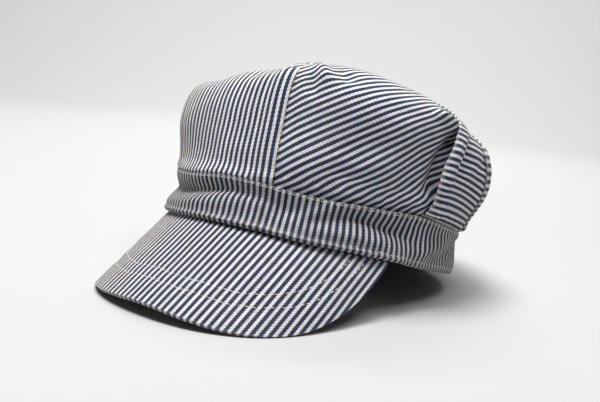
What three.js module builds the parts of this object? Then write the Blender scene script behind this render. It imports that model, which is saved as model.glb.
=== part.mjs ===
// A railroad engineer's cap: a full, soft crown of seven cloth panels on a stiff band, with a drooping visor.
// Millimetres, +Z up. The visor points to -Y and the wearer's left is +X.
// The cap is first laid out upright, with the band's lower edge at height zero and centred on the origin.
// It is then tipped back until it rests by itself on the visor's edge and the back of the band.

import * as THREE from 'three';

// Driving dimensions, in millimetres
const BAND_LENGTH = 192.8; // outside of the band at its lower edge, front to back
const BAND_WIDTH = 176.2; // the same, side to side
const BAND_HEIGHT = 25.8;
const BAND_SPREAD = 1.0; // how much farther out the band's upper edge stands
const BAND_WALL = 2.0;
const BAND_FOLD = 3.0; // the deepest soft roll in the band
const BAND_TOE = 3.0; // how far the band's front edge lies down over the visor
const TOE_WALL = 1.5;
const CROWN_HEIGHT = 104; // from the band's lower edge to the middle of the crown
const CROWN_WALL = 1.2;
const CROWN_TUCK = 6.0; // how deep the crown's cloth goes down inside the band
const CROWN_LEAN = 6.0; // how far the middle of the crown lies towards the visor
const CROWN_FOLD = 7.0; // the deepest dent in the crown
const LAP = 6.0; // how far one crown panel laps over the next
const LAP_EASE = 9.0; // the width over which a lapping panel settles back down
const APEX_HOLE = 1.2; // radius left open where the panels' tips meet
const VISOR_REACH = 63.2; // along the visor's middle, from the band to its edge
const VISOR_WALL = 2.6;
const VISOR_FLANGE = 8.0; // the visor's hem, turned up inside the band
const FLANGE_WALL = 1.5;
const REST_FLAT = 0.9; // how much of the cloth is pressed flat where the cap rests
const GAP = 0.3; // kept between neighbouring pieces

// Driving angles, in degrees, and the fullness of the visor's outline
const VISOR_DROOP = 46.9;
const VISOR_CORNER = 65.5; // where the visor's edge meets the band, round from the front
const VISOR_FULLNESS = 2.65; // 2 is an ellipse, and a higher value has squarer corners
const CROWN_TURN = -13.5; // how far the soft crown's own front is pulled round from the visor's

// Worked-out sizes
const HALF_LENGTH = BAND_LENGTH / 2;
const HALF_WIDTH = BAND_WIDTH / 2;
const CROWN_RISE = CROWN_HEIGHT - BAND_HEIGHT;
const LAP_STEP = CROWN_WALL + GAP;
const LIFTED = LAP * 1.15; // how much of a lapping panel stays lifted
const DROOP = THREE.MathUtils.degToRad(VISOR_DROOP);

const COLOURS = { cloth: 0xa9adb5, band: 0xa1a6b0, visor: 0x9aa0ac };

// A table's rows become objects with the names of its columns
const table = (columns, rows) => rows.map((row) => (
  Object.fromEntries(columns.map((column, i) => [column, row[i]]))
));

// Sections of the crown, one for each direction round the head, in degrees from the front.
// Out is the reach from the middle, as a share of the band's half length or half width.
// Up is the height above the band, as a share of the crown's rise.
const SECTIONS = table(
  ['az', 'lowOut', 'lowUp', 'bellyOut', 'bellyUp', 'shoulderOut', 'shoulderUp',
    'edgeOut', 'edgeUp', 'crestOut', 'crestUp', 'topUp'],
  [
    [-135, 1.06, 0.16, 1.11, 0.39, 1.08, 0.60, 0.98, 0.75, 0.80, 0.85, 0.935],
    [-95, 1.06, 0.16, 1.11, 0.38, 1.09, 0.57, 0.99, 0.71, 0.80, 0.82, 0.905],
    [-62, 1.03, 0.15, 1.06, 0.37, 1.05, 0.54, 0.95, 0.67, 0.79, 0.77, 0.875],
    [-38, 1.016, 0.14, 1.06, 0.35, 1.045, 0.53, 0.975, 0.67, 0.82, 0.755, 0.865],
    [-16, 0.99, 0.15, 1.00, 0.35, 0.995, 0.53, 0.95, 0.68, 0.83, 0.785, 0.875],
    [0, 1.00, 0.16, 1.00, 0.37, 1.00, 0.58, 0.96, 0.73, 0.84, 0.82, 0.900],
    [18, 1.02, 0.17, 1.03, 0.41, 1.03, 0.65, 0.99, 0.805, 0.86, 0.89, 0.950],
    [42, 1.065, 0.15, 1.07, 0.40, 1.095, 0.645, 1.01, 0.80, 0.86, 0.915, 0.975],
    [62, 1.065, 0.15, 1.09, 0.40, 1.10, 0.645, 1.01, 0.79, 0.845, 0.90, 0.968],
    [80, 1.07, 0.17, 1.12, 0.41, 1.09, 0.635, 1.00, 0.77, 0.83, 0.88, 0.955],
    [105, 1.045, 0.15, 1.11, 0.38, 1.08, 0.60, 0.97, 0.72, 0.80, 0.82, 0.920],
    [135, 1.035, 0.15, 1.10, 0.38, 1.06, 0.56, 0.95, 0.68, 0.80, 0.785, 0.905],
    [180, 1.04, 0.15, 1.10, 0.38, 1.06, 0.56, 0.95, 0.68, 0.80, 0.80, 0.905],
  ],
);
const TOP_OUT = 0.65; // reach of the flat top's ring, as a share of the crest's

// The crown's levels, from the hem inside the band (0) to the middle of the top (1)
const LEVELS = [0, 0.10, 0.24, 0.42, 0.58, 0.70, 0.80, 0.90, 1];
const BELLY = 0.42; // the level where the crown is fullest

// Seams between the crown's panels on the wearer's left, in degrees from the front at each of those levels.
// The other side mirrors them about the crown's own front.
const SEAMS = {
  front: [18.5, 18.5, 18.2, 17.8, 17.6, 18.3, 18.5, 18.5, 18.5],
  rear: [75.5, 74.2, 72.2, 71, 74, 80, 83, 84, 84],
  back: [116, 114, 109, 101, 96, 99, 108, 116, 120],
  middle: Array(9).fill(180 + CROWN_TURN),
};

// Dents and puffs of the crown. A row's depth is a share of CROWN_FOLD, and a plus stands out.
// Lean is how many degrees a fold moves round the head from one end of the levels to the other.
const CROWN_FOLDS = table(
  ['az', 'level', 'wideAz', 'wideLevel', 'lean', 'depth'],
  [
    [66, 0.40, 6, 0.14, 10, -0.90], // the dent where the side panel dives under the rear one
    [70, 0.68, 9, 0.05, 0, 0.25], // the puff above that dent
    [24, 0.62, 4, 0.16, 4, -0.25], // a shallow valley beside the front seam
    [31, 0.70, 5, 0.07, 0, 0.22], // a small puff at the top of it
    [46, 0.30, 14, 0.10, 30, -0.22], // the slack low in the side panel
    [50, 0.52, 16, 0.12, -20, 0.20], // the full middle of the side panel
    [82, 0.52, 4, 0.12, -22, 0.22], // a crease down the rear panel
    [106, 0.52, 7, 0.10, 0, 0.35], // the lobe of the back panel beside its seam
    [86, 0.20, 9, 0.05, 10, 0.25], // the rear panel hanging over the band
    [130, 0.44, 8, 0.16, 12, -0.25],
    [156, 0.50, 10, 0.18, -8, 0.20],
  ],
);
const HIDDEN_SIDE = 0.7; // the wearer's right repeats the folds more softly

// The band's upper edge rises and dips round the head, as a share of the band's height
const BAND_EDGE = table(
  ['az', 'rise'],
  [
    [-150, 0], [-95, 0.04], [-60, 0.05], [-22, -0.08], [0, 0], [12, 0], [29, -0.05],
    [46, -0.02], [64, 0.06], [76, 0.10], [90, 0.05], [120, 0], [180, 0],
  ],
);

// Soft rolls of the band, with height and depth as shares of BAND_HEIGHT and BAND_FOLD
const BAND_FOLDS = table(
  ['az', 'height', 'wideAz', 'wideHeight', 'depth'],
  [
    [-38, 0.60, 12, 0.15, 0.45],
    [-26, 0.46, 14, 0.09, -0.26],
    [-30, 0.14, 22, 0.16, 0.55],
    [42, 0.56, 26, 0.14, -0.26],
    [46, 0.24, 30, 0.14, 0.35],
    [88, 0.60, 8, 0.20, 0.35],
    [101, 0.40, 5, 0.20, -0.26],
    [112, 0.62, 7, 0.22, 0.32],
    [-78, 0.40, 12, 0.18, -0.26],
    [-96, 0.62, 9, 0.20, 0.40],
    [150, 0.45, 20, 0.16, -0.26],
    [-140, 0.60, 16, 0.18, 0.30],
  ],
);

const radians = THREE.MathUtils.degToRad;
const smooth = (low, high, x) => THREE.MathUtils.smoothstep(x, low, high);
const point = (x, y, z) => new THREE.Vector3(x, y, z);

// A smooth curve through the values ys at xs. A period joins its end to its start.
function curve(xs, ys, x, period = 0) {
  let places = xs;
  let values = ys;
  if (period) {
    places = [...xs.slice(-2).map((p) => p - period), ...xs, ...xs.slice(0, 2).map((p) => p + period)];
    values = [...ys.slice(-2), ...ys, ...ys.slice(0, 2)];
  }
  const last = places.length - 1;
  const slope = (i) => {
    const before = Math.max(i - 1, 0);
    const after = Math.min(i + 1, last);
    return (values[after] - values[before]) / (places[after] - places[before]);
  };
  let i = 0;
  while (i < last - 1 && x >= places[i + 1]) i += 1;
  const span = places[i + 1] - places[i];
  const t = (x - places[i]) / span;
  const rise = values[i + 1] - values[i];
  const start = slope(i) * span;
  const end = slope(i + 1) * span;
  return values[i] + t * (start + t * (3 * rise - 2 * start - end + t * (start + end - 2 * rise)));
}

// The angle az brought between -180 and 180 degrees
const wrapped = (az) => THREE.MathUtils.euclideanModulo(az + 180, 360) - 180;

const azimuths = SECTIONS.map((row) => row.az);
const sectionAt = (column, az) => curve(azimuths, SECTIONS.map((row) => row[column]), wrapped(az), 360);

// The level where the panels' tips end and leave the small hole open
const TIP_LEVEL = 1 - ((1 - LEVELS.at(-2)) * APEX_HOLE) / (TOP_OUT * sectionAt('crestOut', 90) * HALF_WIDTH);

// Mesh steps
const CROWN_ROWS = [
  0, 0.05, 0.08, 0.11, 0.15, 0.20, 0.26, 0.32, 0.38, 0.44, 0.50, 0.56, 0.62,
  0.67, 0.72, 0.76, 0.80, 0.84, 0.88, 0.92, 0.955, 0.98, TIP_LEVEL,
];
const CROWN_STEP = 5.6; // degrees between a panel's columns, at most
const BAND_STATIONS = 72;
const VISOR_STATIONS = 41;
const VISOR_ROWS = [0, 0.25, 0.5, 0.75, 1];
const CROWDING = 1.46; // radians: how much closer the visor's stations stand near its corners
const VISOR_TIP = VISOR_CORNER * 0.995; // the last station, where the visor still has a little length

const bandTop = (az) => {
  const places = BAND_EDGE.map((row) => row.az);
  const rises = BAND_EDGE.map((row) => row.rise);
  return BAND_HEIGHT * (1 + curve(places, rises, wrapped(az), 360));
};

// A point of the head ring, moved out by an offset
const ringPoint = (az, offset, height) => {
  const angle = radians(az);
  return point((HALF_WIDTH + offset) * Math.sin(angle), -(HALF_LENGTH + offset) * Math.cos(angle), height);
};

// The crown's surface without its folds
function crownBase(az, level) {
  const hem = BAND_SPREAD - BAND_WALL - GAP;
  const tuckShare = 1 - CROWN_TUCK / BAND_HEIGHT;
  const tuckReach = 1 + (hem - BAND_SPREAD * (1 - tuckShare)) / HALF_WIDTH;
  const top = bandTop(az);
  const at = (column) => sectionAt(column, az);
  const crest = at('crestOut');
  const out = [
    tuckReach, 1 + hem / HALF_WIDTH, at('lowOut'), at('bellyOut'), at('shoulderOut'), at('edgeOut'),
    crest, TOP_OUT * crest, 0,
  ];
  const up = [at('lowUp'), at('bellyUp'), at('shoulderUp'), at('edgeUp'), at('crestUp'), at('topUp'), 1];
  const heights = [top - CROWN_TUCK, top + GAP, ...up.map((share) => BAND_HEIGHT + share * CROWN_RISE)];
  const reach = curve(LEVELS, out, level);
  const place = ringPoint(az, 0, curve(LEVELS, heights, level));
  place.x *= reach;
  place.y = place.y * reach - CROWN_LEAN * (1 - reach);
  return place;
}

const bell = (x, width) => Math.exp(-0.5 * (x / width) ** 2);

// How far the crown's folds move it outwards. They die out at the hem and towards the middle of the top.
function crownFold(az, level) {
  const fade = smooth(0.11, 0.2, level) * (1 - smooth(0.8, 0.95, level));
  let depth = 0;
  for (const side of [1, -1]) {
    for (const fold of CROWN_FOLDS) {
      const centre = fold.az + fold.lean * (level - fold.level);
      const share = side > 0 ? fold.depth : fold.depth * HIDDEN_SIDE;
      const across = wrapped(CROWN_TURN + side * (az - CROWN_TURN) - centre);
      depth += share * bell(across, fold.wideAz) * bell(level - fold.level, fold.wideLevel);
    }
  }
  return CROWN_FOLD * fade * depth;
}

// The way out of a surface given by a function of azimuth and level
function outward(surface, az, level) {
  const turn = 0.25;
  const climb = 0.004;
  const along = surface(az + turn, level).sub(surface(az - turn, level));
  const upwards = surface(az, Math.min(level + climb, 1)).sub(surface(az, Math.max(level - climb, 0)));
  return along.cross(upwards).normalize();
}

function crownSurface(az, level) {
  const place = crownBase(az, level);
  return place.addScaledVector(outward(crownBase, az, level), crownFold(az, level));
}

// Near the hem and the top, the lapped seams become plain ones that only meet
const lapShare = (level) => smooth(0.15, 0.2, level) * (1 - smooth(0.8, 0.84, level));
const stepShare = (level) => smooth(0.11, 0.15, level) * (1 - smooth(0.88, 0.955, level));

// Degrees round the crown that a length in millimetres takes at a level
function turnOf(length, az, level) {
  const place = crownBase(az, level);
  return THREE.MathUtils.radToDeg(length / Math.hypot(place.x, place.y + CROWN_LEAN));
}

// A closed shell between two grids of points, rows within columns, whose first grid faces out.
// A wrapped shell's last column meets its first.
function shell(outside, inside, isRing = false) {
  const columns = outside.length;
  const rows = outside[0].length;
  const positions = [...outside.flat(), ...inside.flat()].flatMap((p) => [p.x, p.y, p.z]);
  const out = (i, j) => (i % columns) * rows + j;
  const inn = (i, j) => columns * rows + out(i, j);
  const index = [];
  const face = (a, b, c, d) => index.push(a, b, c, a, c, d);
  const spans = isRing ? columns : columns - 1;
  for (let i = 0; i < spans; i += 1) {
    for (let j = 0; j < rows - 1; j += 1) {
      face(out(i, j), out(i + 1, j), out(i + 1, j + 1), out(i, j + 1));
      face(inn(i, j), inn(i, j + 1), inn(i + 1, j + 1), inn(i + 1, j));
    }
    face(inn(i, 0), inn(i + 1, 0), out(i + 1, 0), out(i, 0));
    face(out(i, rows - 1), out(i + 1, rows - 1), inn(i + 1, rows - 1), inn(i, rows - 1));
  }
  if (!isRing) {
    for (let j = 0; j < rows - 1; j += 1) {
      face(inn(0, j), out(0, j), out(0, j + 1), inn(0, j + 1));
      face(out(columns - 1, j), inn(columns - 1, j), inn(columns - 1, j + 1), out(columns - 1, j + 1));
    }
  }
  const geometry = new THREE.BufferGeometry();
  geometry.setAttribute('position', new THREE.Float32BufferAttribute(positions, 3));
  geometry.setIndex(index);
  geometry.computeVertexNormals();
  return geometry;
}

// One crown panel between two seams. The azimuths of its points grow from its first edge to its last.
// An edge that laps over its neighbour is lifted clear of it, and one that is lapped runs on underneath.
// Both have a column of points at the seam and one a lap's width from it, so their facets stay parallel.
function crownPanel(firstSeam, lastSeam, firstEdge, lastEdge) {
  const width = lastSeam(BELLY) - firstSeam(BELLY);
  const columns = Math.ceil(width / CROWN_STEP) + 2;
  const outside = [];
  const inside = [];
  for (let i = 0; i <= columns; i += 1) {
    const outsideColumn = [];
    const insideColumn = [];
    for (const level of CROWN_ROWS) {
      const seams = [firstSeam(level), lastSeam(level)];
      const middle = (seams[0] + seams[1]) / 2;
      const lap = Math.min(turnOf(LAP, middle, level), (seams[1] - seams[0]) / 5);
      const gap = turnOf(GAP / 2, middle, level);
      const apart = gap * (1 - lapShare(level));
      const overlap = { over: -apart, under: lap * lapShare(level) - apart, plain: -gap };
      const first = seams[0] - overlap[firstEdge];
      const last = seams[1] + overlap[lastEdge];
      let az = first + lap + ((last - first - 2 * lap) * (i - 1)) / (columns - 2);
      if (i === 0) az = first;
      if (i === columns) az = last;
      const lengthOf = (turn) => turn / turnOf(1, az, level);
      const settled = (turn) => smooth(LIFTED, LIFTED + LAP_EASE, lengthOf(turn));
      const raised = (edge, turn) => (edge === 'over' ? 1 - settled(turn) : 0);
      const lift = Math.max(raised(firstEdge, az - first), raised(lastEdge, last - az));
      const normal = outward(crownSurface, az, level);
      const place = crownSurface(az, level).addScaledVector(normal, lift * LAP_STEP * stepShare(level));
      outsideColumn.push(place);
      insideColumn.push(place.clone().addScaledVector(normal, -CROWN_WALL));
    }
    outside.push(outsideColumn);
    inside.push(insideColumn);
  }
  return { outside, inside };
}

// Where the visor's root curve lies at an azimuth, seen along the visor: across it and forward of its middle
function visorAcross(az) {
  const steps = 60;
  let length = 0;
  for (let i = 0; i < steps; i += 1) {
    const angle = (radians(Math.abs(az)) * (i + 0.5)) / steps;
    const side = HALF_WIDTH * Math.cos(angle);
    const drop = HALF_LENGTH * Math.sin(angle) * Math.sin(DROOP);
    length += (Math.hypot(side, drop) * radians(Math.abs(az))) / steps;
  }
  return length;
}
const visorRoot = (az) => -HALF_LENGTH * (1 - Math.cos(radians(az))) * Math.cos(DROOP);

// The visor's length at an azimuth, from the band to its edge
const halfSpan = visorAcross(VISOR_CORNER);
const cornerRoot = visorRoot(VISOR_CORNER);
function visorLength(az) {
  const across = Math.min(visorAcross(az) / halfSpan, 1);
  const share = (1 - across ** VISOR_FULLNESS) ** (1 / VISOR_FULLNESS);
  return cornerRoot + (VISOR_REACH - cornerRoot) * share - visorRoot(az);
}

const visorSlope = point(0, -Math.cos(DROOP), -Math.sin(DROOP));
function visorNormal(az) {
  const angle = radians(az);
  const along = point(HALF_WIDTH * Math.cos(angle), HALF_LENGTH * Math.sin(angle), 0);
  return visorSlope.clone().cross(along).normalize();
}

// The visor: a curved plate whose hem is turned up inside the band
function makeVisor() {
  const outside = [];
  const inside = [];
  const hem = -BAND_WALL - GAP;
  for (let i = 0; i < VISOR_STATIONS; i += 1) {
    const share = (2 * i) / (VISOR_STATIONS - 1) - 1;
    const az = (VISOR_TIP * Math.sin(share * CROWDING)) / Math.sin(CROWDING);
    const normal = visorNormal(az);
    const length = visorLength(az);
    const root = ringPoint(az, 0, -GAP);
    const upper = [ringPoint(az, hem, VISOR_FLANGE), ringPoint(az, hem, -GAP)];
    const lower = [
      ringPoint(az, hem - FLANGE_WALL, VISOR_FLANGE),
      ringPoint(az, hem - FLANGE_WALL, -GAP - FLANGE_WALL),
    ];
    for (const row of VISOR_ROWS) {
      const place = root.clone().addScaledVector(visorSlope, length * row);
      upper.push(place);
      lower.push(place.clone().addScaledVector(normal, -VISOR_WALL));
    }
    outside.push(upper.reverse());
    inside.push(lower.reverse());
  }
  return { outside, inside };
}

// How far the band's soft rolls move it outwards at an azimuth and a share of its height
function bandFold(az, share) {
  let depth = 0;
  for (const fold of BAND_FOLDS) {
    depth += fold.depth * bell(wrapped(az - fold.az), fold.wideAz) * bell(share - fold.height, fold.wideHeight);
  }
  return BAND_FOLD * depth;
}

// The band: a stiff ring whose front edge lies down over the visor's root
function makeBand() {
  const outerShares = [0.10, 0.22, 0.36, 0.50, 0.64, 0.78, 0.90, 1];
  const innerShares = [0, 0.2, 0.4, 0.6, 0.75, 0.9, 1];
  const deepest = BAND_WALL * 0.4;
  const outside = [];
  const inside = [];
  for (let i = 0; i < BAND_STATIONS; i += 1) {
    const az = (360 * i) / BAND_STATIONS - 180;
    const front = 1 - smooth(VISOR_CORNER + 1, VISOR_CORNER + 9, Math.abs(az));
    const toeLength = BAND_TOE * (1 - 0.7 * smooth(VISOR_CORNER - 18, VISOR_CORNER, Math.abs(az)));
    const top = bandTop(az);
    const normal = visorNormal(THREE.MathUtils.clamp(az, -VISOR_CORNER, VISOR_CORNER));
    const turn = ringPoint(az, 0, -GAP).addScaledVector(normal, GAP * 1.4);
    const toe = turn.clone().addScaledVector(visorSlope, toeLength);
    const toeOut = toe.clone().addScaledVector(normal, TOE_WALL);
    const outer = outerShares.map((share) => {
      const flare = front * toeLength * 0.55 * Math.exp((-share * BAND_HEIGHT) / BAND_TOE);
      const offset = BAND_SPREAD * share + flare + Math.max(bandFold(az, share), -deepest);
      return ringPoint(az, offset, top * share);
    });
    const inner = innerShares.map((share) => {
      const offset = BAND_SPREAD * share - BAND_WALL + Math.max(bandFold(az, share), 0);
      return ringPoint(az, offset, top * share);
    });
    const rim = (offset, frontPoint) => ringPoint(az, offset * BAND_WALL, 0).lerp(frontPoint, front);
    outside.push([rim(0, toeOut), ...outer]);
    inside.push([rim(-0.3, toe), rim(-0.6, turn), ...inner]);
  }
  return { outside, inside };
}

// The cap tips back until the visor's lowest points and the back of the band touch one plane
function restingPlane(points) {
  const back = HALF_LENGTH;
  const pitch = Math.max(...points.map((p) => Math.atan2(-p.z, back - p.y)));
  const normal = point(0, -Math.sin(pitch), Math.cos(pitch));
  const lowest = Math.min(...points.map((p) => normal.dot(p)), normal.dot(point(0, back, 0)));
  return { pitch, normal, height: lowest + REST_FLAT };
}

function pressFlat(points, plane) {
  for (const p of points) {
    const depth = plane.height - plane.normal.dot(p);
    if (depth > 0) p.addScaledVector(plane.normal, depth);
  }
}

const visor = makeVisor();
const band = makeBand();
const plane = restingPlane([...visor.outside.flat(), ...visor.inside.flat()]);
for (const grid of [visor.outside, visor.inside, band.outside, band.inside]) pressFlat(grid.flat(), plane);

const upright = new THREE.Group();
function addPiece(name, { outside, inside }, colour, isRing = false) {
  const material = new THREE.MeshStandardMaterial({ color: colour, roughness: 0.9, metalness: 0 });
  const mesh = new THREE.Mesh(shell(outside, inside, isRing), material);
  mesh.name = name;
  upright.add(mesh);
}

addPiece('visor', visor, COLOURS.visor);
addPiece('band', band, COLOURS.band, true);

// The panels of the wearer's left, and how each lies at its seam towards the front and at the one behind it
const PANELS = table(
  ['name', 'frontSeam', 'rearSeam', 'frontEdge', 'rearEdge'],
  [
    ['side', 'front', 'rear', 'under', 'under'],
    ['rear', 'rear', 'back', 'over', 'under'],
    ['back', 'back', 'middle', 'over', 'plain'],
  ],
);
const seam = (name, side) => (level) => CROWN_TURN + side * (curve(LEVELS, SEAMS[name], level) - CROWN_TURN);
addPiece('crown_front_panel', crownPanel(seam('front', -1), seam('front', 1), 'over', 'over'), COLOURS.cloth);
for (const { name, frontSeam, rearSeam, frontEdge, rearEdge } of PANELS) {
  const left = crownPanel(seam(frontSeam, 1), seam(rearSeam, 1), frontEdge, rearEdge);
  const right = crownPanel(seam(rearSeam, -1), seam(frontSeam, -1), rearEdge, frontEdge);
  addPiece(`crown_${name}_panel_left`, left, COLOURS.cloth);
  addPiece(`crown_${name}_panel_right`, right, COLOURS.cloth);
}

const cap = new THREE.Group();
cap.add(upright);
upright.rotation.x = -plane.pitch;
cap.updateMatrixWorld(true);
const bounds = new THREE.Box3().setFromObject(upright, true);
const centre = bounds.getCenter(point(0, 0, 0));
upright.position.set(-centre.x, -centre.y, -bounds.min.z);

export default cap;
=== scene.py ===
# %% [markdown]
# # A railroad engineer's cap in striped twill
# The cap is a full, soft crown of seven cloth panels, gathered into a stiff band, with a drooping visor.
# Every piece made here is real cloth or thread laid over one of those solids: it has the same place and size,
# and adds the folds, seams, stripes and stitches that a plain solid can't show.

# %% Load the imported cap
import functools
import math

import bmesh
import bpy
import numpy as np
from mathutils import Matrix, Vector, noise


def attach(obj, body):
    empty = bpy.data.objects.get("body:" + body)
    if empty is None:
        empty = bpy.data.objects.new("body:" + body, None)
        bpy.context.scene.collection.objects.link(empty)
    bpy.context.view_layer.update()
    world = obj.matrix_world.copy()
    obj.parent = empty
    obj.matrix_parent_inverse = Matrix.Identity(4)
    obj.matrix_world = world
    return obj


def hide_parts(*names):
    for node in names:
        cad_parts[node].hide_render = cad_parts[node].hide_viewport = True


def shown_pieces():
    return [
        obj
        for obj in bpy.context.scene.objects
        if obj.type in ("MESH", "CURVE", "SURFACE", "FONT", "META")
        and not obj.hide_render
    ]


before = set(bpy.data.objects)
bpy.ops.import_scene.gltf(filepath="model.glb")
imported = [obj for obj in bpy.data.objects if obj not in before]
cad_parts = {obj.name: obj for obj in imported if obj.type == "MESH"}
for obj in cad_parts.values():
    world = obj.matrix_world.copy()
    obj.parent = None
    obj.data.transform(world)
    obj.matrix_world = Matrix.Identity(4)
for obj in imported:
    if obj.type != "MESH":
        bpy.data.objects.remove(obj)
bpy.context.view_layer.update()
print("solids:", sorted(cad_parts))

# %% [markdown]
# A cap is easiest to shape upright, as on a hat block: the band's lower edge lies level and its centre is the
# origin. Lengths are in millimetres here. The finished cap rests tipped back, on the visor's edge and the back
# of the band, so every point is turned and moved by the same amount at the end, and is then in metres.
# Anything that would dip through the floor is pressed flat on it, as soft cloth is.

# %% From the upright block to the floor


def new_object(name, data):
    """A new object in the scene. A finished bmesh is turned into its mesh first."""
    if isinstance(data, bmesh.types.BMesh):
        mesh = bpy.data.meshes.new(name)
        data.to_mesh(mesh)
        data.free()
        data = mesh
    made = bpy.data.objects.new(name, data)
    bpy.context.collection.objects.link(made)
    return made


TIP = math.radians(13.2706)
PLACE = np.array([-1.5566, 14.0690, 21.2287])


def tipped(points):
    """Upright points, as rows of millimetres, laid where the cap rests, in metres."""
    x, y, z = np.asarray(points, float).T
    turned = np.stack([x, y * math.cos(TIP) + z * math.sin(TIP), z * math.cos(TIP) - y * math.sin(TIP)], axis=1)
    return (turned + PLACE) / 1000


def pressed(points):
    """The same points, with none below the floor."""
    return points * [1, 1, 0] + np.maximum(points, 0) * [0, 0, 1]


print("front of the band rests at", tipped([[0, -96.4, 0]]).round(4).tolist())

# %% [markdown]
# The camera stands where the photographer stood: to the front and the wearer's left. Its place was worked out
# from the cap's outline, in the upright cap's own frame.

# %% The camera
CAMERA_TURN = math.radians(33.77)
CAMERA_HEIGHT = math.radians(1.02)
CAMERA_ROLL = math.radians(13.25)
CAMERA_DISTANCE = 502.77
FOCAL_PIXELS = 778.675
AIM = (312.357, 241.801)
IMAGE = (600, 402)

back = Vector((
    math.sin(CAMERA_TURN) * math.cos(CAMERA_HEIGHT),
    -math.cos(CAMERA_TURN) * math.cos(CAMERA_HEIGHT),
    math.sin(CAMERA_HEIGHT),
))
level_right = Vector((0, 0, 1)).cross(back).normalized()
level_up = back.cross(level_right)
right = level_right * math.cos(CAMERA_ROLL) + level_up * math.sin(CAMERA_ROLL)
up = level_up * math.cos(CAMERA_ROLL) - level_right * math.sin(CAMERA_ROLL)
tip_turn = Matrix.Rotation(-TIP, 3, "X")
axes = [tip_turn @ axis for axis in (right, up, back)]

lens = bpy.data.cameras.new("photo_camera")
lens.sensor_width = 36
lens.lens = FOCAL_PIXELS * lens.sensor_width / IMAGE[0]
lens.shift_x = (IMAGE[0] / 2 - AIM[0]) / IMAGE[0]
lens.shift_y = (AIM[1] - IMAGE[1] / 2) / IMAGE[0]
lens.clip_start = 0.01
camera = new_object("photo_camera", lens)
camera.matrix_world = Matrix.Translation(tipped([back * CAMERA_DISTANCE])[0]) @ Matrix(axes).transposed().to_4x4()
bpy.context.scene.camera = camera
print(f"camera {camera.location.length:.3f} m away, lens {lens.lens:.1f} mm")

# %% [markdown]
# The shape of soft cloth is smooth, so it is described by a few measured values and a smooth curve through
# them. This curve passes through every value and never overshoots by much. With a period, it closes on
# itself, which suits values that go once round the head.

# %% Smooth curves through measured values


def smooth(low, high, x):
    """0 below low, 1 above high, and an easy S between them."""
    t = np.clip((x - low) / (high - low), 0, 1)
    return t * t * (3 - 2 * t)


def bell(x, width):
    """1 at zero, falling softly away on both sides."""
    return np.exp(-0.5 * (x / width) ** 2)


def wrapped(turn):
    """An angle brought between -180 and 180 degrees."""
    return (turn + 180) % 360 - 180


def curve(places, values, x, period=0):
    """A smooth curve through values at places, read at x. Values may have one column for each x."""
    places = np.asarray(places, float)
    values = np.asarray(values, float)
    if values.ndim == 1:
        values = values[:, None] * np.ones(len(x))
    if period:
        places = np.concatenate([places[-2:] - period, places, places[:2] + period])
        values = np.concatenate([values[-2:], values, values[:2]])
    count = np.arange(len(places))
    before = np.maximum(count - 1, 0)
    after = np.minimum(count + 1, count[-1])
    slopes = (values[after] - values[before]) / (places[after] - places[before])[:, None]
    i = np.clip(np.searchsorted(places, x, side="right") - 1, 0, count[-1] - 1)
    column = np.arange(len(x))
    span = places[i + 1] - places[i]
    t = (x - places[i]) / span
    rise = values[i + 1, column] - values[i, column]
    start = slopes[i, column] * span
    end = slopes[i + 1, column] * span
    curved = start + t * (3 * rise - 2 * start - end + t * (start + end - 2 * rise))
    return values[i, column] + t * curved


print("half way from 2 to 4:", curve([0, 1, 2], [2, 4, 2], np.array([0.5])).round(2).tolist())

# %% [markdown]
# Folds in cloth are long and narrow. Each one is drawn as a line on the cloth, with a depth, and a width on
# either side: a minus is a valley and a plus is a ridge. The ends of a line may fade out. A fold with a narrow
# side has a steep face there, as where cloth is pushed under its neighbour.

# %% Folds drawn as lines


def fold_depth(x, y, line, widths, depth, ends=(0, 0)):
    """How far a fold moves the cloth at the spots x, y. Ends are the shares of depth left at its two ends."""
    line = np.asarray(line, float)
    lengths = np.hypot(*(line[1:] - line[:-1]).T)
    starts = np.concatenate([[0], np.cumsum(lengths)])
    nearest = np.full(len(x), 1e9)
    along = np.zeros(len(x))
    side = np.zeros(len(x))
    for (x0, y0), (x1, y1), start, length in zip(line, line[1:], starts, lengths):
        dx, dy = x1 - x0, y1 - y0
        t = np.clip(((x - x0) * dx + (y - y0) * dy) / length**2, 0, 1)
        away = np.hypot(x - x0 - t * dx, y - y0 - t * dy)
        closer = away < nearest
        nearest = np.where(closer, away, nearest)
        along = np.where(closer, (start + t * length) / starts[-1], along)
        side = np.where(closer, (dx * (y - y0) - dy * (x - x0)) / length, side)
    squarely = np.clip(side / np.maximum(nearest, 1e-6), -1, 1)
    width = widths[1] + (widths[0] - widths[1]) * (0.5 + 0.5 * squarely)
    first = ends[0] + (1 - ends[0]) * smooth(0, 0.4, along)
    last = ends[1] + (1 - ends[1]) * (1 - smooth(0.6, 1, along))
    return depth * first * last * bell(nearest, width)


def unevenness(points, size, depth):
    """Small random swells of real cloth, each about size across."""
    return depth * np.array([noise.noise(Vector(p) / size) for p in points])


trial = fold_depth(np.array([5.0]), np.array([0.0]), [(0, 0), (10, 0)], (2, 2), -1)
print("a fold 1 mm deep, on its line:", trial.round(2).tolist())

# %% [markdown]
# Each piece of cloth starts as a flat grid, like a piece cut from the bolt. Its corners run from 0 to 1 both
# ways, and a shape function says where each spot of the cloth goes. A second function gives the spot's place
# on the bolt, in metres, which becomes its UV, so that the stripes follow the cloth and not the room.
# Solidify then gives the sheet its thickness and Bevel rounds the folded edges. Both are applied, because the
# cloth that rests on the floor has to be pressed flat afterwards. Wear says how rubbed each spot is.

# %% Making a piece of cloth
THIN_SHARE = 0.55  # of the wall's thickness
FOLD_ANGLE = math.radians(55)  # edges sharper than this are rounded


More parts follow.
